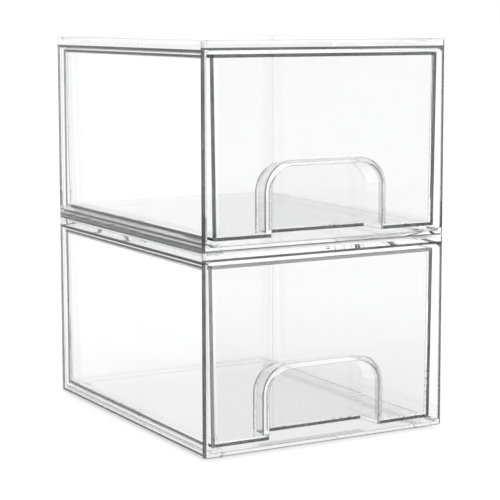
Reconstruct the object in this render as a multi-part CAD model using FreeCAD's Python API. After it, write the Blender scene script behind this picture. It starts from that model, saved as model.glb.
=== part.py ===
"""Clear stackable drawer box: two alike boxes, one stood on the other, each with its own drawer.

Every box is a casing open at the front, a drawer that slides in it on two runners, and four
soft pads under the corners. The frame is in millimetres: X runs across the front, Y runs from
the front to the back, Z is up. The origin is on the ground, in the middle of the footprint.
"""
import FreeCAD, Part
import math
import os

# Casing, outside
case_width = 156.0
case_depth = 194.0
case_height = 112.0          # from the foot of the walls to the top of the lip, the stacking pitch
case_edge_radius = 1.5       # upright outer edges
boxes = ("lower", "upper")

# Casing, walls
side_wall = 2.8
back_wall = 2.6
floor_thickness = 2.6
top_thickness = 3.3
cavity_radius = 2.5          # moulded inner corners

# Stacking lip on top and the base rim that drops inside the lip of the box below
lip_width = 3.4
lip_height = 2.2
lip_radius = 1.5
nest_clearance = 1.2
base_rim_thickness = 2.4

# Pads under the corners
pad_diameter = 8.0
pad_thickness = 1.5
pad_proud = 0.3              # how far a pad stands out below the base rim
pad_edge = 0.25
pad_clearance = 0.2          # round the pad, in its cup
pad_cup_wall = 1.4

# Drawer
drawer_wall = 2.4
drawer_floor = 2.4
drawer_side_gap = 2.5        # beside the drawer, at its top edge
drawer_top_gap = 1.9
drawer_rear_gap = 0.5        # behind the drawer, at its top edge
drawer_draft = 1.3           # how much each side and the back lean in from the top to the floor
drawer_front_radius = 1.5
drawer_rear_radius = 2.0
drawer_heel_radius = 3.2     # where the floor turns up into the back
drawer_inner_radius = 0.8    # the same two corners, inside the drawer
lower_drawer_offset = -1.5   # the lower drawer stands to one side, within its side gap
drawer_hold = 34.0           # drawer left inside the casing when it is pulled out

# Runners under the drawer
runner_height = 3.0
runner_width = 7.0           # at the drawer's floor
runner_foot_width = 3.4      # at the casing's floor
runner_side_inset = 0.6      # from the drawer's side
runner_end_inset = 5.0       # from the drawer's front and back

# Finger niche in the drawer's front
niche_width = 71.2
niche_height = 38.2          # above the underside of the drawer
niche_depth = 16.0
niche_radius = 14.0
niche_draft = 1.8            # how much its sides and roof close in towards the back
niche_wall = 3.0
niche_edge_radius = 0.8      # round the mouth

# One overrun for all cuts
overrun = 4.0

# Worked out from the sizes above
half_width = case_width / 2
front = -case_depth / 2
back = case_depth / 2
ceiling = case_height - lip_height - top_thickness
base_inset = lip_width + nest_clearance
base_rim_height = lip_height - pad_proud
foot_drop = lip_height
pad_radius = pad_diameter / 2
pad_cup_radius = pad_radius + pad_clearance + pad_cup_wall
pad_inset = base_inset + pad_cup_radius
drawer_underside = floor_thickness + runner_height
drawer_top = ceiling - drawer_top_gap
drawer_half_width = half_width - side_wall - drawer_side_gap
drawer_back = back - back_wall - drawer_rear_gap
drawer_height = drawer_top - drawer_underside
drawer_depth = drawer_back - front
drawer_travel = drawer_depth - drawer_hold


def flat(z):
    """Places a 2-D point (x, y) at a height."""
    return lambda x, y: FreeCAD.Vector(x, y, z)


def upright(y):
    """Places a 2-D point (x, z) in a plane that faces the front."""
    return lambda x, z: FreeCAD.Vector(x, y, z)


def sideways(x):
    """Places a 2-D point (y, z) in a plane that faces the side."""
    return lambda y, z: FreeCAD.Vector(x, y, z)


def rounded_wire(corners, radii, place):
    """Makes a closed wire through the corners, each turned by an arc of its own radius."""
    ends = []
    arcs = []
    for index, corner in enumerate(corners):
        here = place(*corner)
        to_last = (place(*corners[index - 1]) - here).normalize()
        to_next = (place(*corners[(index + 1) % len(corners)]) - here).normalize()
        radius = radii[index]
        if radius == 0:
            ends.append((here, here))
            arcs.append(None)
            continue
        half_turn = to_last.getAngle(to_next) / 2
        reach = radius / math.tan(half_turn)
        inward = (to_last + to_next).normalize()
        middle = here + inward * (radius / math.sin(half_turn) - radius)
        start = here + to_last * reach
        end = here + to_next * reach
        ends.append((start, end))
        arcs.append(Part.Arc(start, middle, end).toShape())
    edges = []
    for index, arc in enumerate(arcs):
        if arc is not None:
            edges.append(arc)
        leave = ends[index][1]
        reach_next = ends[(index + 1) % len(ends)][0]
        edges.append(Part.LineSegment(leave, reach_next).toShape())
    return Part.Wire(edges)


def rectangle(x_low, x_high, y_low, y_high):
    """Lists the four corners of a rectangle, front left first, anticlockwise."""
    return [(x_low, y_low), (x_high, y_low), (x_high, y_high), (x_low, y_high)]


def slab(corners, radii, z_low, z_high):
    """Makes a plate with rounded corners between two heights."""
    face = Part.Face(rounded_wire(corners, radii, flat(z_low)))
    return face.extrude(FreeCAD.Vector(0, 0, z_high - z_low))


def centred_slab(inset, radius, z_low, z_high):
    """Makes a plate as large as the casing's outline less an inset all round."""
    corners = rectangle(inset - half_width, half_width - inset, front + inset, back - inset)
    return slab(corners, [radius] * len(corners), z_low, z_high)


def pad_places():
    """Names the four corners and gives the middle of the pad in each."""
    across = half_width - pad_inset
    along = back - pad_inset
    return {
        "front_left": (-across, -along),
        "front_right": (across, -along),
        "back_left": (-across, along),
        "back_right": (across, along),
    }


def make_cavity():
    """Makes the room in the casing, open at the front, with moulded inner corners."""
    width = case_width - side_wall * 2
    depth = case_depth - back_wall + overrun
    room = Part.makeBox(width, depth, ceiling - floor_thickness)
    room.translate(FreeCAD.Vector(-width / 2, front - overrun, floor_thickness))
    behind = [edge for edge in room.Edges if edge.CenterOfMass.y > front]
    return room.makeFillet(cavity_radius, behind)


def make_case():
    """Makes the casing: walls, stacking lip, base rim and the cups for the pads."""
    body = centred_slab(0, case_edge_radius, 0, case_height)
    body = body.cut(centred_slab(lip_width, lip_radius, case_height - lip_height, case_height + overrun))
    body = body.cut(make_cavity())
    rim = centred_slab(base_inset, case_edge_radius, -base_rim_height, floor_thickness / 2)
    rim_inset = base_inset + base_rim_thickness
    body = body.fuse(rim.cut(centred_slab(rim_inset, lip_radius, -base_rim_height - overrun, 0)))
    down = FreeCAD.Vector(0, 0, -1)
    cup_top = floor_thickness / 2
    pocket_top = pad_thickness - pad_proud - base_rim_height
    for x, y in pad_places().values():
        cup_height = base_rim_height + cup_top
        cup = Part.makeCylinder(pad_cup_radius, cup_height, FreeCAD.Vector(x, y, cup_top), down)
        body = body.fuse(cup)
    for x, y in pad_places().values():
        pocket_height = pocket_top + base_rim_height + overrun
        pocket = Part.makeCylinder(
            pad_radius + pad_clearance, pocket_height, FreeCAD.Vector(x, y, pocket_top), down)
        body = body.cut(pocket)
    return body.removeSplitter()


def make_pad(x, y):
    """Makes one soft pad with a broken edge round its foot."""
    pad = Part.makeCylinder(pad_radius, pad_thickness, FreeCAD.Vector(x, y, -foot_drop))
    foot = [edge for edge in pad.Edges if edge.BoundBox.ZMax < pad_thickness / 2 - foot_drop]
    return pad.makeFillet(pad_edge, foot)


def drawer_block(inset, z_low, z_high, rear_radius, heel_radius):
    """Makes the drawer's tapered block less an inset on its walls, with rounded rear corners."""
    def half_at(z):
        lean = drawer_draft * (drawer_top - z) / drawer_height
        return drawer_half_width - lean - inset

    def back_at(z):
        lean = drawer_draft * (drawer_top - z) / drawer_height
        return drawer_back - lean - inset

    radii = [drawer_front_radius, drawer_front_radius, rear_radius, rear_radius]
    wires = []
    for z in (z_low, z_high):
        corners = rectangle(-half_at(z), half_at(z), front + inset, back_at(z))
        wires.append(rounded_wire(corners, radii, flat(z)))
    tapered = Part.makeLoft(wires, True, True)
    side = [
        (front + inset, z_low),
        (back_at(z_low), z_low),
        (back_at(z_high), z_high),
        (front + inset, z_high),
    ]
    heel = Part.Face(rounded_wire(side, [0, heel_radius, 0, 0], sideways(-half_width)))
    return tapered.common(heel.extrude(FreeCAD.Vector(case_width, 0, 0)))


def niche_block(deep_from, deep_to, grown):
    """Makes the niche's arched block between two depths, grown by a wall all round."""
    wires = []
    for deep in (deep_from, deep_to):
        closing = niche_draft * deep / niche_depth
        half = niche_width / 2 - closing + grown
        roof = drawer_underside + niche_height - closing + grown
        radius = niche_radius - closing + grown
        foot = drawer_underside - overrun
        corners = [(-half, foot), (half, foot), (half, roof), (-half, roof)]
        wires.append(rounded_wire(corners, [0, 0, radius, radius], upright(front + deep)))
    return Part.makeLoft(wires, True, True)


def make_runner(side):
    """Makes one runner, wider at the drawer's floor than at its foot, tied into the floor."""
    edge = drawer_half_width - drawer_draft - runner_side_inset
    lean = (runner_width - runner_foot_width) / 2
    root = drawer_underside + drawer_floor / 2
    corners = [
        (edge - runner_width, root),
        (edge - runner_width, drawer_underside),
        (edge - runner_width + lean, floor_thickness),
        (edge - lean, floor_thickness),
        (edge, drawer_underside),
        (edge, root),
    ]
    placed = [upright(front + runner_end_inset)(side * x, z) for x, z in corners]
    placed.append(placed[0])
    length = drawer_depth - drawer_draft - runner_end_inset * 2
    return Part.Face(Part.makePolygon(placed)).extrude(FreeCAD.Vector(0, length, 0))


def round_mouth(body):
    """Rounds the niche's edge on the drawer's front, and leaves the bottom edge of the front sharp."""
    mouth = []
    for edge in body.Edges:
        box = edge.BoundBox
        on_front = box.YMax - front < niche_edge_radius / 2
        within = max(abs(box.XMin), abs(box.XMax)) < (niche_width + niche_wall) / 2
        above = box.ZMax > drawer_underside + niche_edge_radius
        if on_front and within and above:
            mouth.append(edge)
    return body.makeFillet(niche_edge_radius, mouth)


def make_drawer():
    """Makes the drawer: a tapered tray with a finger niche in its front and two runners below."""
    shell = drawer_block(0, drawer_underside, drawer_top, drawer_rear_radius, drawer_heel_radius)
    for side in (-1, 1):
        shell = shell.fuse(make_runner(side))
    inside = drawer_block(
        drawer_wall,
        drawer_underside + drawer_floor,
        drawer_top + overrun,
        drawer_inner_radius,
        drawer_inner_radius,
    )
    inside = inside.cut(niche_block(0, niche_depth + niche_wall, niche_wall))
    body = shell.cut(inside).cut(niche_block(-overrun, niche_depth, 0)).removeSplitter()
    return round_mouth(body)


def report(name, shape):
    """Prints one piece's box, volume and soundness."""
    box = shape.BoundBox
    print(
        f"{name:24s} solids {len(shape.Solids)} valid {shape.isValid()} volume {shape.Volume:10.1f}"
        f"  x {box.XMin:7.2f} {box.XMax:7.2f}  y {box.YMin:7.2f} {box.YMax:7.2f}"
        f"  z {box.ZMin:7.2f} {box.ZMax:7.2f}")


def main():
    """Builds one box, then writes it once for each place in the stack."""
    os.makedirs("parts", exist_ok=True)
    pieces = {"case": make_case(), "drawer": make_drawer()}
    for corner, (x, y) in pad_places().items():
        pieces[f"pad_{corner}"] = make_pad(x, y)
    offsets = {"lower_drawer": lower_drawer_offset}
    for level, box_name in enumerate(boxes):
        rise = foot_drop + case_height * level
        for piece_name, piece in pieces.items():
            node = f"{box_name}_{piece_name}"
            placed = piece.copy()
            placed.translate(FreeCAD.Vector(offsets.get(node, 0), 0, rise))
            placed.exportStep(f"parts/{node}.step")
            report(node, placed)
    print(f"drawer travel {drawer_travel:.1f}, drawer floor at {drawer_underside + foot_drop:.1f}")


main()
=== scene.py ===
# %% [markdown]
# # Clear stackable drawer boxes
#
# Two alike boxes of clear plastic stand one on the other. Each has a casing that is open at the
# front, a drawer that slides in it, and four small soft pads in cups under its corners. This
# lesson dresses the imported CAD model: it makes the casings, drawers and pads anew with rounded
# edges, gives them a clear plastic that looks moulded, and sets up a plain white studio.
#
# Every piece is drawn in millimetres, as on a workshop drawing, and made a thousand times smaller
# at the end, because the frame is in metres. X runs across the front, Y from the front to the
# back and Z is up. One box is drawn with the foot of its walls at height zero, and then raised to
# its two places in the stack.

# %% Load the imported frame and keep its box
import math
import bmesh
import bpy
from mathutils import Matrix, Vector


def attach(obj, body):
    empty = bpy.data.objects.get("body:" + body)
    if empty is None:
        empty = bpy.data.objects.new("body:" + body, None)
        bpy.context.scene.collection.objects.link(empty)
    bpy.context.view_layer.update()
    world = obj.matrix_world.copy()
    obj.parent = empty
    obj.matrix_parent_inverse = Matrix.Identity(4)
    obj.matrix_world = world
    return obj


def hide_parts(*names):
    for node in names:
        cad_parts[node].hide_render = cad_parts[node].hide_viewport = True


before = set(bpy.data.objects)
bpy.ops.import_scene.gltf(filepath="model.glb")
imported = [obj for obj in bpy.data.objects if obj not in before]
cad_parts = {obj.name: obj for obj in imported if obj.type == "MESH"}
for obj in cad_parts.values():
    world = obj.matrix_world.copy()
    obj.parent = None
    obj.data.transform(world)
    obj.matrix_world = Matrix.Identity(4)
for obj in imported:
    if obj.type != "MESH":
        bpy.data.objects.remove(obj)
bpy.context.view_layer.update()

# %% [markdown]
# ## Camera
#
# The camera stands in front of the left corner, a little higher than the stack, with a long lens
# a metre away. The stack's upright edges are almost parallel in the picture though its top is seen
# from above. A camera that is simply pointed down draws uprights together. A long lens keeps that
# small, and a slightly shifted lens helps, as on a product photographer's camera: the camera tilts
# less, and the shift brings the stack back to the middle of the picture.

# %% Place the camera
MM = 0.001
CAMERA_PLACE = (-483.7, -871.4, 238.4)
LOOK_DOWN, TURN_RIGHT = 6.85, 30.2
FOCAL_LENGTH, SENSOR_WIDTH = 120.1, 36
SHIFT_RIGHT, SHIFT_UP = -0.053, -0.066

camera_data = bpy.data.cameras.new("camera")
camera = bpy.data.objects.new("camera", camera_data)
bpy.context.scene.collection.objects.link(camera)
camera.location = Vector(CAMERA_PLACE) * MM
camera.rotation_euler = (math.radians(90 - LOOK_DOWN), 0, math.radians(-TURN_RIGHT))
camera_data.sensor_width = SENSOR_WIDTH
camera_data.lens = FOCAL_LENGTH
camera_data.shift_x = SHIFT_RIGHT
camera_data.shift_y = SHIFT_UP
bpy.context.scene.camera = camera
print("camera distance", round(camera.location.length, 3), "m")

# %% [markdown]
# ## Studio
#
# Clear plastic shows its surroundings more than itself, so the studio is most of the look. A
# white world lights the boxes evenly from all round, one large soft lamp adds a little direction,
# and the floor is pale and wide. The world is pure white to the camera and to the rays that a
# clear or shiny surface sends on, so the plastic shows the same white as the background.

# %% Helpers for shader nodes
def add_node(tree, kind, **inputs):
    """Adds a shader node and sets the sockets that are named."""
    node = tree.nodes.new(kind)
    for name, value in inputs.items():
        node.inputs[name.replace("_", " ")].default_value = value
    return node


def join(tree, source, target):
    """Links an output socket to an input socket."""
    tree.links.new(source, target)


print("node helpers ready")

# %% Tell the rays that are seen from those that only light
def seen_rays(tree):
    """Gives 1 for rays from the camera, from a shiny surface or through a clear one, else 0."""
    path = add_node(tree, "ShaderNodeLightPath")
    first = add_node(tree, "ShaderNodeMath")
    first.operation = "ADD"
    join(tree, path.outputs["Is Camera Ray"], first.inputs[0])
    join(tree, path.outputs["Is Glossy Ray"], first.inputs[1])
    second = add_node(tree, "ShaderNodeMath")
    second.operation = "ADD"
    second.use_clamp = True
    join(tree, first.outputs[0], second.inputs[0])
    join(tree, path.outputs["Is Transmission Ray"], second.inputs[1])
    return second.outputs[0]


print("ray test ready")

# %% Light from all round
scene = bpy.context.scene
scene.view_settings.view_transform = "Standard"
WHITE = (1, 1, 1, 1)
WORLD_LIGHT = 0.86
world = bpy.data.worlds.new("studio")
world.use_nodes = True
scene.world = world
tree = world.node_tree
tree.nodes.clear()
lighting = add_node(tree, "ShaderNodeBackground", Color=WHITE, Strength=WORLD_LIGHT)
backdrop = add_node(tree, "ShaderNodeBackground", Color=WHITE, Strength=1.0)
choice = add_node(tree, "ShaderNodeMixShader")
output = add_node(tree, "ShaderNodeOutputWorld")
join(tree, seen_rays(tree), choice.inputs["Fac"])
join(tree, lighting.outputs[0], choice.inputs[1])
join(tree, backdrop.outputs[0], choice.inputs[2])
join(tree, choice.outputs[0], output.inputs["Surface"])
print("world light", WORLD_LIGHT)

# %% One large soft lamp
LAMP_WIDTH, LAMP_DEPTH, LAMP_WATTS = 1.6, 1.2, 7.0
LAMP_PLACE, LAMP_AIM = Vector((-1.0, -0.9, 1.7)), Vector((0, 0, 0.1))

lamp_data = bpy.data.lights.new("soft_lamp", "AREA")
lamp_data.shape = "RECTANGLE"
lamp_data.size = LAMP_WIDTH
lamp_data.size_y = LAMP_DEPTH
lamp_data.energy = LAMP_WATTS
lamp = bpy.data.objects.new("soft_lamp", lamp_data)
scene.collection.objects.link(lamp)
lamp.location = LAMP_PLACE
lamp.rotation_euler = (LAMP_AIM - LAMP_PLACE).to_track_quat("-Z", "Y").to_euler()
print("lamp", lamp_data.energy, "W")

# %% [markdown]
# ## Floor
#
# The floor is a wide sheet of matt card with a fine tooth. A white floor could be lit until it
# clips to white, but the lamps would then burn out the boxes too. So the card's own colour is
# darker and takes their faint shadow, and a glow that only seen rays meet lifts it to the white
# of the background, so that no horizon shows.

# %% Wide pale floor
FLOOR_SIZE = 60

bpy.ops.mesh.primitive_plane_add(size=FLOOR_SIZE)
floor = bpy.context.object
floor.name = "floor"
print("floor", floor.dimensions[:])

# %% Matt card with a glow of its own
CARD_DARKEST, CARD_PALEST, CARD_GLOW = 0.32, 0.34, 0.80


def new_finish(name):
    """Starts a material with no nodes, and gives it and its node tree."""
    finish = bpy.data.materials.new(name)
    finish.use_nodes = True
    finish.node_tree.nodes.clear()
    return finish, finish.node_tree


floor_finish, tree = new_finish("matt_white_card")
place = add_node(tree, "ShaderNodeTexCoord")
tooth = add_node(tree, "ShaderNodeTexNoise", Scale=240.0, Detail=2.0)
join(tree, place.outputs["Object"], tooth.inputs["Vector"])
card_shade = add_node(tree, "ShaderNodeMapRange", To_Min=CARD_DARKEST, To_Max=CARD_PALEST)
join(tree, tooth.outputs["Fac"], card_shade.inputs["Value"])
card_colour = add_node(tree, "ShaderNodeCombineColor")
for channel in ("Red", "Green", "Blue"):
    join(tree, card_shade.outputs["Result"], card_colour.inputs[channel])
card = add_node(tree, "ShaderNodeBsdfDiffuse", Roughness=0.5)
join(tree, card_colour.outputs["Color"], card.inputs["Color"])
glow_share = add_node(tree, "ShaderNodeMath")
glow_share.operation = "MULTIPLY"
glow_share.inputs[1].default_value = CARD_GLOW
join(tree, seen_rays(tree), glow_share.inputs[0])
glow = add_node(tree, "ShaderNodeEmission", Color=WHITE)
join(tree, glow_share.outputs[0], glow.inputs["Strength"])
lit_card = add_node(tree, "ShaderNodeAddShader")
join(tree, card.outputs[0], lit_card.inputs[0])
join(tree, glow.outputs[0], lit_card.inputs[1])
output = add_node(tree, "ShaderNodeOutputMaterial")
join(tree, lit_card.outputs[0], output.inputs["Surface"])
floor.data.materials.append(floor_finish)
print("card glow", CARD_GLOW)

# %% [markdown]
# ## Light paths
#
# A look through the stack passes a dozen walls, and each wall has two faces. With too few steps
# the rays end inside the plastic and leave black specks, so the limits are raised. Lamps shine
# straight through the plastic by its own shadow rule, given with its finish, so the scene needs
# no caustics, and those are switched off to keep the floor free of noise.

# %% Let rays pass many clear walls
STEPS_THROUGH, STEPS_BY_GLOSS = 128, 64
scene.cycles.max_bounces = STEPS_THROUGH
scene.cycles.transmission_bounces = STEPS_THROUGH
scene.cycles.glossy_bounces = STEPS_BY_GLOSS
scene.cycles.transparent_max_bounces = STEPS_THROUGH
scene.cycles.caustics_reflective = False
scene.cycles.caustics_refractive = False
print("steps", scene.cycles.max_bounces)

# %% [markdown]
# ## Tools for modelling in code
#
# In edit mode a modeller clicks on faces and edges. Code has no pointer, so it picks them by
# where they are and which way they face. Two helpers do that here, and nothing stays selected
# that wasn't asked for. More helpers follow in the cells that need them first. The operators
# themselves are the ones on Blender's own menus.

# %% Start a block and pick its parts
def add_block(name, low, high):
    """Adds a box between two corners and leaves it in edit mode."""
    bpy.ops.object.select_all(action="DESELECT")
    low, high = Vector(low), Vector(high)
    bpy.ops.mesh.primitive_cube_add(size=1, location=(low + high) / 2, scale=high - low)
    bpy.ops.object.transform_apply(location=True, rotation=True, scale=True)
    piece = bpy.context.object
    piece.name = name
    piece.data.name = name
    bpy.ops.object.mode_set(mode="EDIT")
    return piece


def pick(kind, wanted):
    """Selects the points, edges or faces that pass a test, and nothing else."""
    bpy.ops.mesh.select_mode(type=kind)
    bpy.ops.mesh.select_all(action="DESELECT")
    mesh = bmesh.from_edit_mesh(bpy.context.object.data)
    parts = {"VERT": mesh.verts, "EDGE": mesh.edges, "FACE": mesh.faces}[kind]
    chosen = [part for part in parts if wanted(part)]
    for part in chosen:
        part.select_set(True)
    mesh.select_flush_mode()
    bmesh.update_edit_mesh(bpy.context.object.data)
    return len(chosen)


print("tools for picking ready")

# %% [markdown]
# ## Casing: the room behind the mouth
#
# The real casing is one injection moulding: a box with walls under three millimetres, open at the
# front. It could be built from six plates, or hollowed with a Boolean. Here the upright corners
# of a solid block are rounded, and then its front face is inset and pushed back, as the mould's
# core does it, because that leaves clean four-sided faces and one closed skin.

# %% A block with rounded upright corners
CASE_WIDTH, CASE_DEPTH, CASE_HEIGHT = 156.0, 194.0, 112.0
SIDE_WALL, BACK_WALL, FLOOR_WALL, TOP_WALL = 2.8, 2.6, 2.6, 3.3
LIP_WIDTH, LIP_HEIGHT = 3.4, 2.2
EDGE_RADIUS = 1.5
FRONT, BACK, HALF = -CASE_DEPTH / 2, CASE_DEPTH / 2, CASE_WIDTH / 2
CEILING = CASE_HEIGHT - LIP_HEIGHT - TOP_WALL
FAR = 500.0


def round_off(kind_of_edge, offset, segments):
    """Bevels the edges that pass a test, and says how many there were."""
    count = pick("EDGE", kind_of_edge)
    bpy.ops.mesh.bevel(
        offset=offset, offset_type="OFFSET", segments=segments, profile=0.5, affect="EDGES",
        clamp_overlap=False)
    return count


def leave_edit():
    """Goes back to object mode."""
    bpy.ops.object.mode_set(mode="OBJECT")


def upright_span(edge):
    """Measures how far an edge rises."""
    return abs(edge.verts[0].co.z - edge.verts[1].co.z)


def rounded_block(name, inset, low_z, high_z, radius):
    """Adds a block as large as the casing's outline less an inset, with rounded uprights."""
    piece = add_block(
        name, (inset - HALF, FRONT + inset, low_z), (HALF - inset, BACK - inset, high_z))
    round_off(lambda edge: upright_span(edge) > 0.1, radius, 4)
    leave_edit()
    return piece


case = rounded_block("case", 0, 0, CASE_HEIGHT, EDGE_RADIUS)
print("block", CASE_WIDTH, CASE_DEPTH, CASE_HEIGHT)

# %% Tools for moving and extruding picked faces
SLACK = 0.01


def within(low, high):
    """Makes a test that all points of a part lie between two corners."""
    def test(part):
        points = getattr(part, "verts", None) or [part]
        return all(
            low[axis] - SLACK <= point.co[axis] <= high[axis] + SLACK
            for point in points for axis in range(3))
    return test


def facing(direction, low, high):
    """Makes a test for faces between two corners that look one way."""
    direction = Vector(direction)
    inside = within(low, high)
    return lambda face: face.normal.dot(direction) > 0.99 and inside(face)


def push(*value):
    """Moves what is selected."""
    bpy.ops.transform.translate(value=value)


def draw_out(*value):
    """Extrudes what is selected."""
    bpy.ops.mesh.extrude_region_move(TRANSFORM_OT_translate={"value": value})


def only(piece):
    """Selects one piece alone and makes it the active one."""
    bpy.ops.object.select_all(action="DESELECT")
    piece.select_set(True)
    bpy.context.view_layer.objects.active = piece


def edit(piece):
    """Opens a piece in edit mode with nothing else selected."""
    only(piece)
    bpy.ops.object.mode_set(mode="EDIT")


print("tools for shaping ready")

# %% Hollow the casing from the front
edit(case)
pick("FACE", facing((0, -1, 0), (-FAR, -FAR, -FAR), (FAR, FRONT, FAR)))
margin = SIDE_WALL - EDGE_RADIUS
bpy.ops.mesh.inset(thickness=margin)
room_half = HALF - SIDE_WALL
pick("VERT", within((-room_half, FRONT, CASE_HEIGHT / 2), (room_half, FRONT, CASE_HEIGHT - 1)))
push(0, 0, CEILING - (CASE_HEIGHT - margin))
pick("VERT", within((-room_half, FRONT, 1), (room_half, FRONT, CASE_HEIGHT / 2)))
push(0, 0, FLOOR_WALL - margin)
pick("FACE", facing((0, -1, 0), (-room_half, FRONT, 0), (room_half, FRONT, CASE_HEIGHT)))
draw_out(0, CASE_DEPTH - BACK_WALL, 0)
print("casing room", room_half * 2, "wide", round(CEILING - FLOOR_WALL, 1), "high")

# %% Round the moulded corners of the room
CAVITY_RADIUS = 2.5
behind_mouth = within(
    (-room_half, FRONT, FLOOR_WALL), (room_half, BACK - BACK_WALL, CEILING))
count = round_off(
    lambda edge: behind_mouth(edge) and sum(point.co.y for point in edge.verts) > 2 * FRONT + 1,
    CAVITY_RADIUS, 4)
leave_edit()
print("room edges rounded", count)

# %% [markdown]
# ## Casing: stacking lip, base rim and pad cups
#
# The top has a low lip all round, and under the floor a rim drops inside the lip of the box
# below, so the boxes can't slide off each other. Four cups in the rim's corners hold the pads.
# Insets could draw the lip and the rim, but their corners would come out square or crossed, so
# they are cut and joined with rounded blocks. The blocks end inside the plastic and never flush
# with a face, because a Boolean is surest where no two faces coincide.

# %% Sink the top inside its lip
LIP_RADIUS = 1.5
CUTTER_REACH = 4.0


def combine(piece, other, operation):
    """Joins another piece to this one or cuts it out, and removes the other."""
    only(piece)
    step = piece.modifiers.new(operation.lower(), "BOOLEAN")
    step.operation = operation
    step.object = other
    step.solver = "EXACT"
    bpy.ops.object.modifier_apply(modifier=step.name)
    bpy.data.objects.remove(other)


lip_room = rounded_block(
    "lip_room", LIP_WIDTH, CASE_HEIGHT - LIP_HEIGHT, CASE_HEIGHT + CUTTER_REACH, LIP_RADIUS)
combine(case, lip_room, "DIFFERENCE")
print("lip", LIP_WIDTH, "wide", LIP_HEIGHT, "high")

# %% Join the base rim
BASE_INSET, RIM_THICKNESS, RIM_HEIGHT = 4.6, 2.4, 1.9
RIGHT_THROUGH = 9.0

rim = rounded_block("rim", BASE_INSET, -RIM_HEIGHT, FLOOR_WALL / 2, EDGE_RADIUS)
rim_room = rounded_block(
    "rim_room", BASE_INSET + RIM_THICKNESS, -RIGHT_THROUGH, RIGHT_THROUGH, LIP_RADIUS)
combine(rim, rim_room, "DIFFERENCE")
combine(case, rim, "UNION")
print("rim", RIM_THICKNESS, "wide", RIM_HEIGHT, "deep")

# %% Places and sizes of the pads
PAD_RADIUS, PAD_THICKNESS, PAD_PROUD = 4.0, 1.5, 0.3
POCKET_RADIUS, CUP_RADIUS = 4.2, 5.5
PAD_INSET = 10.2
pad_places = {
    "front_left": (PAD_INSET - HALF, FRONT + PAD_INSET),
    "front_right": (HALF - PAD_INSET, FRONT + PAD_INSET),
    "back_left": (PAD_INSET - HALF, BACK - PAD_INSET),
    "back_right": (HALF - PAD_INSET, BACK - PAD_INSET),
}
print("pads at", list(pad_places.values()))

# %% Cups for the pads
ROUND_SIDES = 48
CUP_EDGE, CUP_SHORT, CUP_TUCK = 0.25, 0.05, 0.1


def add_round(name, x, y, radius, low_z, high_z):
    """Adds an upright cylinder and leaves it in edit mode."""
    bpy.ops.object.select_all(action="DESELECT")
    bpy.ops.mesh.primitive_cylinder_add(
        vertices=ROUND_SIDES, radius=radius, depth=high_z - low_z,
        location=(x, y, (low_z + high_z) / 2))
    bpy.ops.object.transform_apply(location=True, rotation=True, scale=True)
    piece = bpy.context.object
    piece.name = name
    piece.data.name = name
    bpy.ops.object.mode_set(mode="EDIT")
    return piece


cup_foot = CUP_SHORT - RIM_HEIGHT
pocket_top = PAD_THICKNESS - PAD_PROUD - RIM_HEIGHT
for x, y in pad_places.values():
    cup = add_round("cup", x, y, CUP_RADIUS, cup_foot, FLOOR_WALL / 2 - CUP_TUCK)
    round_off(within((-FAR, -FAR, -FAR), (FAR, FAR, cup_foot)), CUP_EDGE, 2)
    leave_edit()
    combine(case, cup, "UNION")
for x, y in pad_places.values():
    pocket = add_round("pocket", x, y, POCKET_RADIUS, -RIGHT_THROUGH, pocket_top)
    leave_edit()
    combine(case, pocket, "DIFFERENCE")
print("cups", len(pad_places), "pockets up to", round(pocket_top, 2))

# %% [markdown]
# ## Casing: soft edges
#
# No moulded edge is sharp. The upright corners have a radius of a millimetre and a half, and the
# other edges are broken by about half a millimetre. This is what makes clear plastic readable:
# the broken edges bend the light away and carry thin dark lines, which are painted shade given
# further on, while the flat panels vanish. Bevels on picked edges are used, because every edge
# then has its own width. Last, fine edges are drawn across the flat skin where walls and floors
# meet it behind, so that the bands between them can get painted shade of their own.

# %% Break the level edges
edit(case)
bpy.ops.mesh.select_all(action="SELECT")
bpy.ops.mesh.dissolve_limited(angle_limit=math.radians(0.5))
AT_CUPS, AT_CORNERS = 0.1, 0.5


def level_loop(height, inset):
    """Makes a test for level edges at one height and inset, a bit off it at cups and corners."""
    def inset_of(point):
        return min(HALF - abs(point.co.x), -FRONT - abs(point.co.y))

    def test(edge):
        turned = len(edge.link_faces) == 2 and edge.calc_face_angle() > 0.5
        return turned and all(
            abs(point.co.z - height) < SLACK
            and inset - AT_CUPS <= inset_of(point) <= inset + AT_CORNERS for point in edge.verts)
    return test


soft_loops = {
    "lip outside": (CASE_HEIGHT, 0, 0.7),
    "lip inside": (CASE_HEIGHT, LIP_WIDTH, 0.5),
    "foot outside": (0, 0, 0.7),
    "rim outside": (-RIM_HEIGHT, BASE_INSET, 0.6),
    "rim inside": (-RIM_HEIGHT, BASE_INSET + RIM_THICKNESS, 0.4),
}
for name, (height, inset, width) in soft_loops.items():
    print(name, round_off(level_loop(height, inset), width, 2))

# %% Break the edge round the mouth
MOUTH_EDGE = 0.45


def round_the_mouth(edge):
    """Tests for the inner edge of the casing's front."""
    middle = (edge.verts[0].co + edge.verts[1].co) / 2
    return (
        all(abs(point.co.y - FRONT) < SLACK for point in edge.verts)
        and abs(middle.x) < room_half + SLACK
        and FLOOR_WALL - SLACK < middle.z < CEILING + SLACK)


print("mouth", round_off(round_the_mouth, MOUTH_EDGE, 2))

# %% Mark where walls and floors meet the casing's skin
def outer_skin(face):
    """Tests for the upright faces of the casing's outline, its rounded corners included."""
    return abs(face.normal.z) < 0.1 and all(
        min(HALF - abs(point.co.x), BACK - abs(point.co.y)) < 0.5 for point in face.verts)


def score(faces, point, direction):
    """Draws an edge across the faces that pass a test, where a plane crosses them."""
    pick("FACE", faces)
    bpy.ops.mesh.bisect(plane_co=point, plane_no=Vector(direction).normalized())


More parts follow.
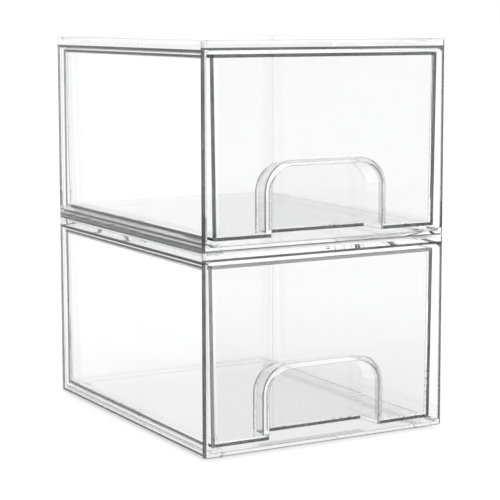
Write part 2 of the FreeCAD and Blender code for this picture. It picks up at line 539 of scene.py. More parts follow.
BACKWARD, UP = (0, 1, 0), (0, 0, 1)
TOP_LINES = (CEILING + 0.3, CEILING + 1.5)
MOUTH_LINE = FLOOR_WALL + 1
LEFT_LINES = (
    FLOOR_WALL - 1.3, FLOOR_WALL + 0.2, FLOOR_WALL + 4.4, FLOOR_WALL + 6.4,
    CEILING - 4.1, CEILING - 2.1, CEILING - 1.1, CEILING + 0.5)
REAR_LINES = (BACK - 13.6, BACK - 10.8, BACK - 5.0)

for height in TOP_LINES:
    score(outer_skin, (0, 0, height), UP)
mouth_frame = facing((0, -1, 0), (-HALF, FRONT, 0), (HALF, FRONT, CEILING + 1))
score(mouth_frame, (0, 0, MOUTH_LINE), UP)
left_skin = facing((-1, 0, 0), (-HALF, -FAR, -FAR), (-HALF, FAR, FAR))
for height in LEFT_LINES:
    score(left_skin, (0, 0, height), UP)
for depth in REAR_LINES:
    score(left_skin, (0, depth, 0), BACKWARD)
leave_edit()
print("casing faces", len(case.data.polygons))

# %% [markdown]
# ## Drawer: a tapered tray
#
# The drawer is the second moulding. Its sides and back lean in a little towards the floor, so
# that it leaves its mould, its rear corners are round, and its floor turns up into the back in a
# round heel. The tray could be drawn as one extruded wall, but the lean and the three roundings
# meet at the rear corners. So an outer and an inner block are each rounded the same way, and the
# inner one is cut out of the outer one.

# %% One leaning block with a round heel
DRAWER_WALL, DRAWER_FLOOR = 2.4, 2.4
DRAWER_LOW, DRAWER_HIGH = 5.6, 104.6
DRAWER_HALF, DRAWER_BACK = 72.7, 93.9
DRAFT = 1.3
FRONT_RADIUS, REAR_RADIUS, HEEL_RADIUS, INNER_RADIUS = 1.5, 2.0, 3.2, 0.8
OVER_TOP, ASIDE = 20.0, 125.0


def leaning_block(name, inset, low_z, high_z, rear_radius, heel_radius):
    """Adds the drawer's block less an inset, leaning in downwards, with round rear corners."""
    def lean(z):
        return DRAFT * (DRAWER_HIGH - z) / (DRAWER_HIGH - DRAWER_LOW)

    top_half = DRAWER_HALF - inset - lean(high_z)
    top_back = DRAWER_BACK - inset - lean(high_z)
    piece = add_block(name, (-top_half, FRONT + inset, low_z), (top_half, top_back, high_z))
    step = lean(low_z) - lean(high_z)
    pick("VERT", within((-FAR, -FAR, low_z), (0, FAR, low_z)))
    push(step, 0, 0)
    pick("VERT", within((0, -FAR, low_z), (FAR, FAR, low_z)))
    push(-step, 0, 0)
    pick("VERT", within((-FAR, 0, low_z), (FAR, FAR, low_z)))
    push(0, -step, 0)
    round_off(lambda edge: upright_span(edge) > 1 and edge.verts[0].co.y > 0, rear_radius, 6)
    round_off(lambda edge: upright_span(edge) > 1 and edge.verts[0].co.y < 0, FRONT_RADIUS, 4)
    leave_edit()
    over = high_z + OVER_TOP
    heel = add_block(name + "_heel", (-ASIDE, -ASIDE, low_z), (ASIDE, top_back - step, over))
    pick("VERT", within((-FAR, 0, over), (FAR, FAR, over)))
    push(0, step * (over - low_z) / (high_z - low_z), 0)
    round_off(within((-FAR, 0, low_z), (FAR, FAR, low_z)), heel_radius, 6)
    leave_edit()
    combine(piece, heel, "INTERSECT")
    return piece


drawer = leaning_block("drawer", 0, DRAWER_LOW, DRAWER_HIGH, REAR_RADIUS, HEEL_RADIUS)
print("drawer block", [round(value, 1) for value in drawer.dimensions])

# %% [markdown]
# ## Drawer: finger niche
#
# The front has a niche for the fingers, open at the bottom, with round shoulders. Its roof and
# sides close in slightly towards its back panel. It is an arched block cut out of the front, and
# the same block grown by the wall stays standing inside the tray as the niche's shell.

# %% The niche's arched block
NICHE_WIDTH, NICHE_HEIGHT, NICHE_DEPTH, NICHE_RADIUS = 71.2, 38.2, 16.0, 14.0
NICHE_DRAFT, NICHE_WALL = 1.8, 3.0


def arched_block(name, deep_from, deep_to, grown):
    """Adds the niche's block between two depths behind the front, grown by a wall all round."""
    foot = DRAWER_LOW - CUTTER_REACH

    def size_at(deep):
        closing = NICHE_DRAFT * deep / NICHE_DEPTH
        return NICHE_WIDTH / 2 - closing + grown, DRAWER_LOW + NICHE_HEIGHT - closing + grown

    near, far = size_at(deep_from), size_at(deep_to)
    piece = add_block(
        name, (-near[0], FRONT + deep_from, foot), (near[0], FRONT + deep_to, near[1]))
    round_off(
        lambda edge: all(point.co.z > foot + 1 for point in edge.verts)
        and abs(edge.verts[0].co.y - edge.verts[1].co.y) > 1,
        NICHE_RADIUS + grown, 12)
    pick("VERT", within((-FAR, FRONT + deep_to, -FAR), (FAR, FRONT + deep_to, FAR)))
    bpy.ops.transform.resize(
        value=(far[0] / near[0], 1, (far[1] - foot) / (near[1] - foot)),
        center_override=(0, FRONT + deep_to, foot))
    leave_edit()
    return piece


print("niche", NICHE_WIDTH, "wide", NICHE_HEIGHT, "high", NICHE_DEPTH, "deep")

# %% Hollow the drawer round its niche
tray = leaning_block(
    "tray", DRAWER_WALL, DRAWER_LOW + DRAWER_FLOOR, DRAWER_HIGH + CUTTER_REACH,
    INNER_RADIUS, INNER_RADIUS)
shell = arched_block("niche_shell", -CUTTER_REACH, NICHE_DEPTH + NICHE_WALL, NICHE_WALL)
combine(tray, shell, "DIFFERENCE")
combine(drawer, tray, "DIFFERENCE")
combine(drawer, arched_block("niche", -CUTTER_REACH, NICHE_DEPTH, 0), "DIFFERENCE")
print("drawer faces", len(drawer.data.polygons))

# %% [markdown]
# ## Drawer: soft edges and runners
#
# The drawer's edges are broken as the casing's are. The mouth of the niche gets a wide rounding,
# because fingers meet it, and so do the root and the rear edge of the shell round it. Fine edges
# mark the bands that get painted shade of their own. Under the floor run two ribs, wider at their
# root than at their foot, and these slide on the casing's floor. They are joined last, so that the
# bevels along the drawer's lower edges run through without a notch.

# %% Break the drawer's edges
edit(drawer)
bpy.ops.mesh.select_all(action="SELECT")
bpy.ops.mesh.dissolve_limited(angle_limit=math.radians(0.3))


def sharp(low, high, hollow=False):
    """Makes a test for sharp edges between two corners, standing out or hollow."""
    inside = within(low, high)

    def test(edge):
        if len(edge.link_faces) != 2 or edge.calc_face_angle() < 0.6 or not inside(edge):
            return False
        return edge.is_convex != hollow
    return test


niche_reach = NICHE_WIDTH / 2 + 0.1
niche_roof = DRAWER_LOW + NICHE_HEIGHT
shell_reach = niche_reach + NICHE_WALL
shell_roof = niche_roof + NICHE_WALL + 1
shell_rear = FRONT + NICHE_DEPTH + NICHE_WALL
soft_edges = {
    "top": (
        (-FAR, -FAR, DRAWER_HIGH), (FAR, FAR, DRAWER_HIGH), 0.6, 2),
    "niche mouth": (
        (-niche_reach, FRONT, DRAWER_LOW), (niche_reach, FRONT, niche_roof + 1), 0.8, 3),
    "shell rear": (
        (-shell_reach, shell_rear, DRAWER_LOW + 2), (shell_reach, shell_rear, shell_roof), 0.9, 2),
    "niche foot": (
        (-niche_reach, FRONT + 0.5, DRAWER_LOW),
        (niche_reach, FRONT + NICHE_DEPTH + 1, DRAWER_LOW), 0.4, 2),
}
for name, (low, high, width, segments) in soft_edges.items():
    print(name, round_off(sharp(low, high), width, segments))

# %% Fill the shell's root and break the lower edges
ROOT_RADIUS, LOWER_EDGE = 0.9, 0.5
shell_root = sharp(
    (-shell_reach, FRONT + DRAWER_WALL, DRAWER_LOW + DRAWER_FLOOR),
    (shell_reach, FRONT + DRAWER_WALL, shell_roof), hollow=True)
print("shell root", round_off(shell_root, ROOT_RADIUS, 2))

low_down = sharp((-FAR, -FAR, DRAWER_LOW), (FAR, FAR, DRAWER_LOW + 7))


def lower_edge(edge):
    """Tests for the drawer's lower edges, the niche's own left out."""
    beside_niche = max(abs(point.co.x) for point in edge.verts) > niche_reach + 1
    in_the_rear = min(point.co.y for point in edge.verts) > 0
    return low_down(edge) and (beside_niche or in_the_rear) and upright_span(edge) < 3


print("lower edges", round_off(lower_edge, LOWER_EDGE, 2))

# %% Mark where the drawer's rim and floor meet its skin
RIM_BAND, RIGHT_BAND, REAR_BAND = 1.9, 1.3, 1.5
front_skin = facing((0, -1, 0), (-FAR, FRONT, -FAR), (FAR, FRONT, FAR))
side_skin = facing((-1, 0, 0), (-DRAWER_HALF, -FAR, -FAR), (DRAFT + 0.1 - DRAWER_HALF, FAR, FAR))
niche_panel = facing(
    (0, -1, 0), (-niche_reach, FRONT + NICHE_DEPTH, -FAR), (niche_reach, FRONT + NICHE_DEPTH, FAR))
for skin in (front_skin, side_skin):
    score(skin, (0, 0, DRAWER_HIGH - RIM_BAND), UP)
    score(skin, (0, 0, DRAWER_LOW + RIM_BAND), UP)
score(niche_panel, (0, 0, DRAWER_LOW + RIM_BAND), UP)
drawer_rise = DRAWER_HIGH - DRAWER_LOW
right_line = (DRAWER_HALF - FRONT_RADIUS - RIGHT_BAND, FRONT, DRAWER_HIGH)
score(front_skin, right_line, (drawer_rise, 0, -DRAFT))
rear_line = (0, DRAWER_BACK - REAR_RADIUS - REAR_BAND, DRAWER_HIGH)
score(side_skin, rear_line, (0, drawer_rise, -DRAFT))
print("drawer bands", RIM_BAND, RIGHT_BAND, REAR_BAND)

# %% Mark the root and the rear edge on the niche's shell
ROOT_LINE, SHELL_REAR_LINE = FRONT + DRAWER_WALL + 2.9, shell_rear - 2.8


def shell_skin(face):
    """Tests for the outer skin of the niche's shell, between its root and its rear edge."""
    reach = within(
        (-shell_reach - 1, FRONT + DRAWER_WALL + 0.5, DRAWER_LOW + DRAWER_FLOOR),
        (shell_reach + 1, shell_rear, niche_roof + NICHE_WALL + 0.5))
    return abs(face.normal.y) < 0.3 and reach(face)


for depth in (ROOT_LINE, SHELL_REAR_LINE):
    score(shell_skin, (0, depth, 0), BACKWARD)
leave_edit()
print("drawer faces", len(drawer.data.polygons))

# %% Two runner ribs
RUNNER_WIDTH, RUNNER_FOOT_WIDTH, RUNNER_HEIGHT = 7.0, 3.4, 3.0
RUNNER_SIDE_INSET, RUNNER_END_INSET = 0.6, 5.0
RUNNER_EDGE, LIFT = 0.4, 0.05

runner_edge = DRAWER_HALF - DRAFT - RUNNER_SIDE_INSET
runner_low = DRAWER_LOW - RUNNER_HEIGHT + LIFT
for side in (-1, 1):
    ends = sorted((side * runner_edge, side * (runner_edge - RUNNER_WIDTH)))
    rib = add_block(
        "rib", (ends[0], FRONT + RUNNER_END_INSET, runner_low),
        (ends[1], DRAWER_BACK - DRAFT - RUNNER_END_INSET, DRAWER_LOW))
    middle = sum(ends) / 2
    pick("FACE", facing((0, 0, 1), (-FAR, -FAR, DRAWER_LOW), (FAR, FAR, DRAWER_LOW)))
    draw_out(0, 0, DRAWER_FLOOR / 2)
    pick("FACE", facing((0, 0, -1), (-FAR, -FAR, runner_low), (FAR, FAR, runner_low)))
    bpy.ops.transform.resize(
        value=(RUNNER_FOOT_WIDTH / RUNNER_WIDTH, 1, 1), center_override=(middle, 0, runner_low))
    round_off(sharp((-FAR, -FAR, runner_low), (FAR, FAR, runner_low)), RUNNER_EDGE, 2)
    leave_edit()
    combine(drawer, rib, "UNION")
print("drawer faces with its ribs", len(drawer.data.polygons))

# %% [markdown]
# ## Pads
#
# Each pad is a soft disc of silicone in its cup, with a broken edge and a slightly sunk foot so
# that only a ring touches the table. It is turned from one cylinder: the foot is inset and pushed
# up, then both rims are rounded. One pad is made and copied to its eight places.

# %% One pad
RING_WIDTH, SINK, SINK_EDGE = 1.3, 0.15, 0.3
FOOT_EDGE, TOP_EDGE = 0.12, 0.25
FOOT_DROP = LIP_HEIGHT

pad_top = PAD_THICKNESS - FOOT_DROP
pad = add_round("pad", 0, 0, PAD_RADIUS, -FOOT_DROP, pad_top)
pick("FACE", facing((0, 0, -1), (-FAR, -FAR, -FOOT_DROP), (FAR, FAR, -FOOT_DROP)))
bpy.ops.mesh.inset(thickness=RING_WIDTH)
draw_out(0, 0, SINK)
bpy.ops.mesh.inset(thickness=SINK_EDGE)
round_off(sharp((-FAR, -FAR, -FOOT_DROP), (FAR, FAR, -FOOT_DROP)), FOOT_EDGE, 2)
round_off(sharp((-FAR, -FAR, pad_top), (FAR, FAR, pad_top)), TOP_EDGE, 3)
leave_edit()
print("pad faces", len(pad.data.polygons))

# %% [markdown]
# ## How much light each face holds back: painted shade
#
# Flat panels of clear plastic let nearly everything through. Rounded edges don't: they collect
# what lies along the whole wall, so they look a little grey. The strong dark lines, most of all at
# the edges that frame the front, are reflections of dark surroundings, as black cards beside the
# boxes would give. Here they are painted instead: every face gets a number, the share of light
# that it holds back, from lists of places. Mostly it is painted shade and painted reflection, with
# a little of the plastic's real greying, and on some panels it paints the shade of what lies
# behind them. The finish reads it as an attribute, so the painted lines stay on the plastic and
# are the same from every side. Each row of a list gives the two corners of a place in
# millimetres, the direction in which a face has to look, or None for any, and the share. The
# first row that fits counts. Flat panels and turned edges have lists of their own.

# %% Find the share of a face
FLAT, SAME_WAY, CLEARLY_SEEN = 0.985, 0.3, 0.05


def first_share(centre, normal, rows):
    """Finds the share in the first row whose place holds a face's centre and whose way fits."""
    for low, high, direction, share in rows:
        inside = all(low[axis] <= centre[axis] <= high[axis] for axis in range(3))
        if inside and (direction is None or normal.dot(Vector(direction)) > SAME_WAY):
            return share
    return None


def hold_back_and_paint_shade(piece, panels, edges):
    """Gives each face its share of held-back light and painted shade, from the rows for flat
    panels or those for turned edges.
    """
    layer = piece.data.attributes.new("held_back_and_painted_shade", "FLOAT", "FACE").data
    for face in piece.data.polygons:
        turned = max(abs(value) for value in face.normal) < FLAT
        layer[face.index].value = first_share(
            face.center, face.normal, edges if turned else panels) or 0.0
    seen = sum(item.value > CLEARLY_SEEN for item in layer)
    print(piece.name, "faces that hold back much light", seen)


ANYWHERE = (-FAR, -FAR, -FAR), (FAR, FAR, FAR)
TO_LEFT, TO_RIGHT, TO_FRONT, TO_BACK, TO_TOP = (-1, 0, 0), (1, 0, 0), (0, -1, 0), (0, 1, 0), UP
FRONT_LEFT, FRONT_RIGHT, BACK_LEFT = (-0.7, -0.7, 0), (0.7, -0.7, 0), (-0.7, 0.7, 0)
print("ways to look in ready")

# %% Shares of the casing's flat panels: painted shade bands and a faint tint
case_panels = [
    # painted shade lines at the ceiling's level: front, left, then the rest
    ((-78.1, -97.1, 106.5), (78.1, -96.9, 108.5), None, 0.85),
    ((-78.1, -97, 105.1), (-77.9, 97, 107.3), None, 0.90),
    ((-78.1, -97, 106.7), (78.1, 97.1, 108.5), (1, 0.3, 0), 0.10),
    # left side: painted shade lines at the floor's level and the back wall's edge, then painted
    # copies of the lines of the drawer's rims that stand behind
    ((-78.1, -97, 1.2), (-77.9, 97, 2.9), None, 0.84),
    ((-78.1, 91.9, 2.7), (-77.9, 96, 105.3), None, 0.78),
    ((-78.1, -97, 6.9), (-77.9, 83.5, 9.1), None, 0.35),
    ((-78.1, -97, 102.3), (-77.9, 83.5, 104.5), None, 0.45),
    ((-78.1, 83.3, 6.9), (-77.9, 86.3, 104.5), None, 0.78),
    ((-78.1, -97, 2.7), (-77.9, 97, 111.4), None, 0.020),
    # right side wall's front end, then painted shade of the floor behind the panels
    ((74.5, -97.1, 1), (77, -96.9, 107), None, 0.80),
    ((-74, FRONT + 4, -0.1), (74, BACK - 4, FLOOR_WALL + 0.1), None, 0.012),
    (*ANYWHERE, None, 0.003),
]
print("rows for the casing's panels", len(case_panels))

# %% Shares of the casing's edges: painted dark lines
case_edges = [
    # pad cups
    *(((x - 6, y - 6, -2), (x + 6, y + 6, 0.2), None, 0.0) for x, y in pad_places.values()),
    # upright corners of the outline: front left, front right, rear left
    ((-78, -97, 108.4), (-76, -95, 111), FRONT_LEFT, 0.25),
    ((-78, -97, 1), (-76, -95, 108.4), FRONT_LEFT, 0.85),
    ((76, -97, 106.8), (78, -95, 111), FRONT_RIGHT, 0.90),
    ((76, -97, 1), (78, -95, 106.8), FRONT_RIGHT, 0.84),
    ((-78, 95, 1), (-76, 97, 111), BACK_LEFT, 0.78),
    # edge round the mouth: under the top, then the other three sides
    ((-75, -97.1, 105.5), (75, -96, 107.6), None, 0.84),
    ((-76, -97.1, 1.5), (76, -96, 107), None, 0.05),
    # corner between the room's left side and its floor
    ((-75.3, -95, 2.6), (-72, 92, 5.2), (0.7, 0, 0.3), 0.30),
    # lip
    ((-78.1, -97.1, 109), (78.1, 97.1, 112.1), None, 0.08),
    # foot of the walls: front, left, then the rest
    ((-77, -97.1, -0.1), (77, -95.9, 1), None, 0.70),
    ((-78.1, -97, -0.1), (-76.9, 97, 1), None, 0.60),
    ((-78.1, -97.1, -0.1), (78.1, 97.1, 1), None, 0.15),
    # base rim
    ((-73.5, -92.5, -2), (-72, 92.5, -1), None, 0.35),
    ((-73.5, -92.5, -2), (73.5, -91, -1), None, 0.20),
    ((-74, -93, -2), (74, 93, 0.1), None, 0.06),
]
hold_back_and_paint_shade(case, case_panels, case_edges)

# %% Shares of the drawer's flat panels: painted shade bands and a faint tint
drawer_panels = [
    # painted dark bands on the front: top, bottom, right
    ((-73, -97.1, 102.6), (73, -96.9, 104.7), TO_FRONT, 0.86),
    ((-73, -97.1, 5.5), (73, -96.9, 7.6), TO_FRONT, 0.86),
    ((67, -97.1, 7.4), (72.9, -96.9, 102.8), TO_FRONT, 0.86),
    # painted dark bands on the left side: top, bottom, rear
    ((-73, -97, 102.6), (-72, 94, 104.7), TO_LEFT, 0.98),
    ((-73, -97, 5.5), (-70, 94, 7.6), TO_LEFT, 0.98),
    ((-73, 87, 7.4), (-70, 94, 102.8), TO_LEFT, 0.30),
    # painted shade on the inner face of the front panel
    ((-71, -95, 8), (71, -94, 104), TO_BACK, 0.095),
    # finger niche, painted shade: foot of its back panel, back panel, the rest of its skin
    ((-37, -81.1, 5.5), (37, -80.9, 7.6), TO_FRONT, 0.86),
    ((-37, -81.1, 7), (37, -80.9, 45), TO_FRONT, 0.130),
    ((-36.6, -96.5, 5.6), (1, -80.9, 45), None, 0.030),
    ((1, -96.5, 5.6), (36.6, -80.9, 45), None, 0.080),
    # painted lines at the root and rear edge of the niche's shell: left, then right
    ((-42, -94.2, 8), (-33, -91.5, 36), TO_LEFT, 0.74),
    ((-42, -81.6, 8), (-33, -78, 36), TO_LEFT, 0.77),
    ((33, -94.2, 8), (42, -91.5, 36), TO_RIGHT, 0.28),
    ((33, -81.6, 8), (42, -78, 36), TO_RIGHT, 0.04),
    # front panel, painted shade on the floor, the rest
    ((-71, -97.1, 8), (71, -94, 104), None, 0.006),
    ((-71, -94, 5.5), (71, 92, 8.1), None, 0.032),
    (*ANYWHERE, None, 0.004),
]
print("rows for the drawer's panels", len(drawer_panels))

# %% Shares of the drawer's edges: painted dark lines
drawer_edges = [
    # upright front edges: left, right
    ((-73, -97.1, 6.2), (-70, -95, 104), FRONT_LEFT, 0.84),
    ((70, -97.1, 6.2), (73, -95, 104), FRONT_RIGHT, 0.90),
    # top edges: front, left, then the rest
    ((-73, -97.1, 103.5), (73, -96, 104.7), None, 0.88),
    ((-73, -97, 103.5), (-72, 92, 104.7), None, 0.98),
    ((-73, -97, 103.5), (73, 94, 104.7), None, 0.06),
    # lower edges: front, left, then the rest
    ((-72, -97.1, 5.2), (72, -96, 6.4), None, 0.85),
    ((-73, -97, 5.2), (-70.5, 92, 12), (-0.3, 0, -0.3), 0.98),
    # rear left corner, then the heel
    ((-73, 88, 8), (-67, 94, 104), None, 0.30),
    ((-73, 88, 5.2), (73, 94, 12), None, 0.04),
    # finger niche: foot of its back panel, feet of its sides
    ((-37, -82, 5.2), (37, -80, 6.4), None, 0.88),
    ((-39, -96.5, 5.2), (39, -80, 6.4), None, 0.50),
    # shell's rear edge and its root on the front panel: left, then right
    ((-41, -80, 8), (-30, -77.5, 50), None, 0.60),
    ((30, -80, 8), (41, -77.5, 50), None, 0.15),
    ((-41, -80, 8), (41, -77.5, 50), None, 0.12),
    ((-42, -95, 8), (-30, -93, 50), None, 0.60),
    ((30, -95, 8), (42, -93, 50), None, 0.25),
    ((-42, -95, 8), (42, -93, 50), None, 0.04),
    # root's left shoulder, then the right one
    ((-42, -94.2, 30), (-22, -91.5, 48), (-0.7, 0, 0.5), 0.62),
    ((22, -94.2, 30), (42, -91.5, 48), (0.7, 0, 0.5), 0.25),
    # mouth of the niche: left, right, then under the roof
    ((-39, -97.1, 6), (-30, -96, 46), None, 0.28),
    ((30, -97.1, 6), (39, -96, 46), None, 0.34),
    ((-39, -97.1, 30), (39, -96, 46), None, 0.06),
    # shoulders inside the niche
    ((-38, -96.9, 5.6), (38, -80.9, 45), None, 0.020),
]
hold_back_and_paint_shade(drawer, drawer_panels, drawer_edges)

# %% [markdown]
# ## Finishes
#
# The plastic is clear all through, with a gloss that is nearly that of glass. A single flat glass
# would look like air in a white room, so the finish carries what real mouldings show: faint flow
# streaks from the gate, a very light waviness of the skin, and fine wear that dulls the gloss in
# patches. These come from one node group with named inputs, and both clear finishes use it with
# their own values. The shader itself stays in the material. The share that a face holds back,
# mostly painted shade, is taken off the tint, and the tint is squared, because the shader applies
# only its root at each of a wall's faces.

# %% A node group for moulded plastic: its sockets
moulded_skin = bpy.data.node_groups.new("moulded_skin", "ShaderNodeTree")
INPUTS = {"Clearness": 0.99, "Streaks": 0.01, "Gloss roughness": 0.02, "Wear": 0.02}
OUTPUTS = {"Tint": "NodeSocketColor", "Roughness": "NodeSocketFloat", "Height": "NodeSocketFloat"}
for name, start in INPUTS.items():
    socket = moulded_skin.interface.new_socket(
        name, in_out="INPUT", socket_type="NodeSocketFloat")
    socket.default_value = start
    socket.min_value = 0.0
    socket.max_value = 1.0
for name, kind in OUTPUTS.items():
    moulded_skin.interface.new_socket(name, in_out="OUTPUT", socket_type=kind)
given = moulded_skin.nodes.new("NodeGroupInput")
result = moulded_skin.nodes.new("NodeGroupOutput")
print("group sockets", len(moulded_skin.interface.items_tree))

# %% Flow streaks and fine wear
place = add_node(moulded_skin, "ShaderNodeTexCoord")
stretch = add_node(moulded_skin, "ShaderNodeMapping", Scale=(9.0, 5.0, 30.0))
join(moulded_skin, place.outputs["Object"], stretch.inputs["Vector"])
flow = add_node(moulded_skin, "ShaderNodeTexNoise", Scale=1.6, Detail=3.0, Distortion=0.6)
join(moulded_skin, stretch.outputs[0], flow.inputs["Vector"])
fine = add_node(moulded_skin, "ShaderNodeTexNoise", Scale=70.0, Detail=4.0)
join(moulded_skin, place.outputs["Object"], fine.inputs["Vector"])
print("patterns", flow.name, "and", fine.name)

# %% Tint from the light that each face lets pass, painted shade included
LEAST_EVEN, UNEVENNESS = 0.88, 0.24
BLUE_POWER, PATCH_POWER = 0.985, 3.0


def maths(operation, *values, clamp=False):
    """Adds a Math node to the group, fed by numbers or by sockets."""
    node = moulded_skin.nodes.new("ShaderNodeMath")
    node.operation = operation
    node.use_clamp = clamp
    for index, value in enumerate(values):
        if isinstance(value, float):
            node.inputs[index].default_value = value
        else:
            join(moulded_skin, value, node.inputs[index])
    return node.outputs[0]


# The attribute read here is mostly painted shade: dark lines and bands laid on the faces.
shade_share = add_node(moulded_skin, "ShaderNodeAttribute")
shade_share.attribute_name = "held_back_and_painted_shade"
streak = maths("MULTIPLY", flow.outputs["Fac"], given.outputs["Streaks"])
clear = maths("SUBTRACT", given.outputs["Clearness"], streak)
uneven = maths("MULTIPLY_ADD", flow.outputs["Fac"], UNEVENNESS, LEAST_EVEN)
lost = maths("MULTIPLY", shade_share.outputs["Fac"], uneven, clamp=True)
kept = maths("SUBTRACT", 1.0, lost, clamp=True)
passed = maths("MULTIPLY", clear, kept, clamp=True)
squared = maths("MULTIPLY", passed, passed)
tint = add_node(moulded_skin, "ShaderNodeCombineColor")
for channel in ("Red", "Green"):
    join(moulded_skin, squared, tint.inputs[channel])
join(moulded_skin, maths("POWER", squared, BLUE_POWER), tint.inputs["Blue"])
join(moulded_skin, tint.outputs[0], result.inputs["Tint"])
print("tint from", shade_share.attribute_name)

# %% Roughness and height
patches = maths("POWER", fine.outputs["Fac"], PATCH_POWER)
roughness = maths("MULTIPLY_ADD", patches, given.outputs["Wear"], given.outputs["Gloss roughness"])
join(moulded_skin, roughness, result.inputs["Roughness"])
join(moulded_skin, flow.outputs["Fac"], result.inputs["Height"])
print("group nodes", len(moulded_skin.nodes))

# %% Clear plastic
SHADOW_WHITE = (0.965, 0.965, 0.965, 1)


def let_lamps_through(tree, surface, shadow_colour):
    """Ends a clear finish: shadow rays meet a tinted pane in place of the shader."""
    path = add_node(tree, "ShaderNodeLightPath")
    pane = add_node(tree, "ShaderNodeBsdfTransparent", Color=shadow_colour)
    choice = add_node(tree, "ShaderNodeMixShader")
    join(tree, path.outputs["Is Shadow Ray"], choice.inputs["Fac"])
    join(tree, surface.outputs[0], choice.inputs[1])
    join(tree, pane.outputs[0], choice.inputs[2])
    output = add_node(tree, "ShaderNodeOutputMaterial")
    join(tree, choice.outputs[0], output.inputs["Surface"])


def make_clear(name, clearness, streaks, roughness, wear):
    """Makes a clear moulded plastic that lets lamps shine through."""
    finish, tree = new_finish(name)
    skin = tree.nodes.new("ShaderNodeGroup")
    skin.node_tree = moulded_skin
    skin.inputs["Clearness"].default_value = clearness
    skin.inputs["Streaks"].default_value = streaks
    skin.inputs["Gloss roughness"].default_value = roughness
    skin.inputs["Wear"].default_value = wear
    plastic = add_node(tree, "ShaderNodeBsdfPrincipled", IOR=1.49, Transmission_Weight=1.0)
    join(tree, skin.outputs["Tint"], plastic.inputs["Base Color"])
    join(tree, skin.outputs["Roughness"], plastic.inputs["Roughness"])
    wave = add_node(tree, "ShaderNodeBump", Strength=0.02, Distance=0.001)
    join(tree, skin.outputs["Height"], wave.inputs["Height"])
    join(tree, wave.outputs[0], plastic.inputs["Normal"])
    let_lamps_through(tree, plastic, SHADOW_WHITE)
    return finish


casing_clear = make_clear(
    "casing_clear", clearness=0.9995, streaks=0.002, roughness=0.0, wear=0.01)
drawer_clear = make_clear(
    "drawer_clear", clearness=0.9990, streaks=0.003, roughness=0.0, wear=0.01)
print("clear finishes", casing_clear.name, drawer_clear.name)

# %% Soft pads
SILICONE_SHADES = (0.94, 0.95, 0.96, 1), (0.99, 0.99, 0.99, 1)
SILICONE_SHADOW = (0.93, 0.93, 0.93, 1)
SMOOTHEST, DULLEST = 0.18, 0.30

pad_finish, tree = new_finish("soft_silicone")
silicone = add_node(tree, "ShaderNodeBsdfPrincipled", IOR=1.41, Transmission_Weight=1.0)
place = add_node(tree, "ShaderNodeTexCoord")
grain = add_node(tree, "ShaderNodeTexNoise", Scale=1500.0, Detail=3.0)
join(tree, place.outputs["Object"], grain.inputs["Vector"])
shade = add_node(tree, "ShaderNodeValToRGB")
for end, colour in zip(shade.color_ramp.elements, SILICONE_SHADES):
    end.color = colour
join(tree, grain.outputs["Fac"], shade.inputs["Fac"])
join(tree, shade.outputs["Color"], silicone.inputs["Base Color"])
dull = add_node(tree, "ShaderNodeMapRange", To_Min=SMOOTHEST, To_Max=DULLEST)
join(tree, grain.outputs["Fac"], dull.inputs["Value"])
join(tree, dull.outputs["Result"], silicone.inputs["Roughness"])
bump = add_node(tree, "ShaderNodeBump", Strength=0.3, Distance=0.0001)
join(tree, grain.outputs["Fac"], bump.inputs["Height"])
join(tree, bump.outputs[0], silicone.inputs["Normal"])
let_lamps_through(tree, silicone, SILICONE_SHADOW)
print("pad finish", pad_finish.name)

# %% [markdown]
# ## Stack the boxes
#
# One box is finished. Each piece is copied to its two places with a mesh of its own, made a
# thousand times smaller, and tied to its body of the CAD model: a drawer slides in its casing,
# and the upper box lifts off with its drawer. The shading is smooth across the rounded edges and
# weighted by area, so the flat panels stay perfectly flat between them.

# %% Copy every piece into the stack
SMOOTH_ANGLE, MOST_BY_AREA = 32, 100
BOX_NAMES = ("lower", "upper")
DRAWER_OFFSETS = {"lower": -1.5, "upper": 0.0}


def rise_of(box_name):
    """Gives the height of a box's foot over the table."""
    return FOOT_DROP + CASE_HEIGHT * BOX_NAMES.index(box_name)


def set_down(source, name, x, y, rise, body, finish):
    """Copies a piece to its place in metres, ties it to its body and hides the CAD node of its
    name.
    """
    piece = source.copy()
    piece.data = source.data.copy()
    piece.name = name + ("_soft" if finish is pad_finish else "_clear")
    piece.data.name = piece.name
    scene.collection.objects.link(piece)
    only(piece)
    piece.location = (x, y, rise)
    bpy.ops.object.transform_apply(location=True, rotation=True, scale=True)
    piece.scale = (MM, MM, MM)
    bpy.ops.object.transform_apply(location=True, rotation=True, scale=True)
    bpy.ops.object.shade_smooth_by_angle(angle=math.radians(SMOOTH_ANGLE))
    weigh = piece.modifiers.new("weigh", "WEIGHTED_NORMAL")
    weigh.keep_sharp = True
    weigh.weight = MOST_BY_AREA
    bpy.ops.object.modifier_apply(modifier=weigh.name)
    piece.data.materials.clear()
    piece.data.materials.append(finish)
    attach(piece, body)
    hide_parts(name)


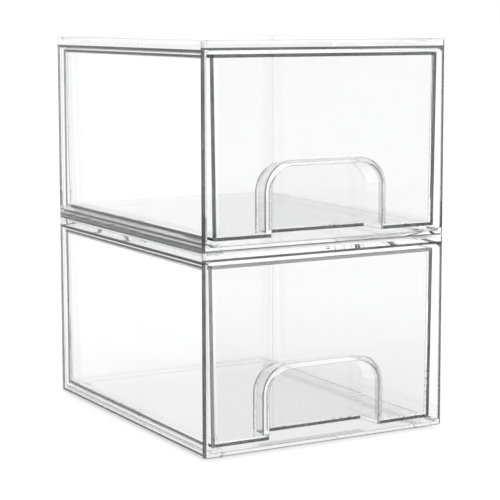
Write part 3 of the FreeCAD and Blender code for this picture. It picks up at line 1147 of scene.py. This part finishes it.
for box_name in BOX_NAMES:
    rise, body = rise_of(box_name), box_name + "_box"
    aside, drawer_name = DRAWER_OFFSETS[box_name], box_name + "_drawer"
    set_down(case, box_name + "_case", 0, 0, rise, body, casing_clear)
    set_down(drawer, drawer_name, aside, 0, rise, drawer_name, drawer_clear)
    for corner, (x, y) in pad_places.items():
        set_down(pad, f"{box_name}_pad_{corner}", x, y, rise, body, pad_finish)
for source in (case, drawer, pad):
    bpy.data.objects.remove(source)

# %% [markdown]
# ## Painted shade that belongs to one box
#
# The two boxes come from the same moulds, but what lies behind their edges differs, and so does
# the light that they show. Under the upper box is the seam, where four walls and a narrow gap lie
# close together, and its lines are painted darker than the free foot of the lower box. The lower
# drawer's front edges have the open floor behind them and are painted paler. A few faces of the
# copies therefore get painted shade of their own.

# %% Give single boxes their own painted shade
def repaint_shade(name, changes):
    """Changes the painted shade of one piece's faces between corners given as on its drawing."""
    mesh = bpy.data.objects[name + "_clear"].data
    foot = Vector((0, 0, rise_of(name.split("_")[0])))
    layer = mesh.attributes["held_back_and_painted_shade"].data
    changed = 0
    for face in mesh.polygons:
        share = first_share(face.center / MM - foot, face.normal, changes)
        if share is not None:
            layer[face.index].value = share
            changed += 1
    print(name, "faces with a tone of their own", changed)


repaint_shade("upper_case", [
    # foot, front and left, then the left side from the foot to the floor and to the drawer
    ((-77, -97.1, -0.1), (77, -95.9, 0.9), TO_FRONT, 0.84),
    ((-78.1, -97, -0.1), (-76.9, 97, 1.4), TO_LEFT, 0.84),
    ((-78.1, -97, 2.7), (-77.9, 97, 7.1), TO_LEFT, 0.32),
    ((-78.1, -97, 6.9), (-77.9, 83.5, 9.1), TO_LEFT, 0.50),
])
repaint_shade("lower_case", [
    # left side of the lip, its rounded edge and its face
    ((-78.1, -97, 111.2), (-76.9, 97, 112.1), TO_LEFT, 0.75),
    ((-78.1, -97, 107.2), (-77.9, 97, 111.4), TO_LEFT, 0.20),
    # floor
    ((-74, FRONT + 4, -0.1), (74, BACK - 4, FLOOR_WALL + 0.1), TO_TOP, 0.003),
])
repaint_shade("lower_drawer", [
    # top of the front, its left edge, then the floor
    ((-75, -97.1, 102.6), (72, -95.9, 104.7), TO_FRONT, 0.62),
    ((-75, -97.1, 6.2), (-70, -95, 104), FRONT_LEFT, 0.72),
    ((-73, -94, 7.5), (71, 92, 8.1), TO_TOP, 0.004),
])
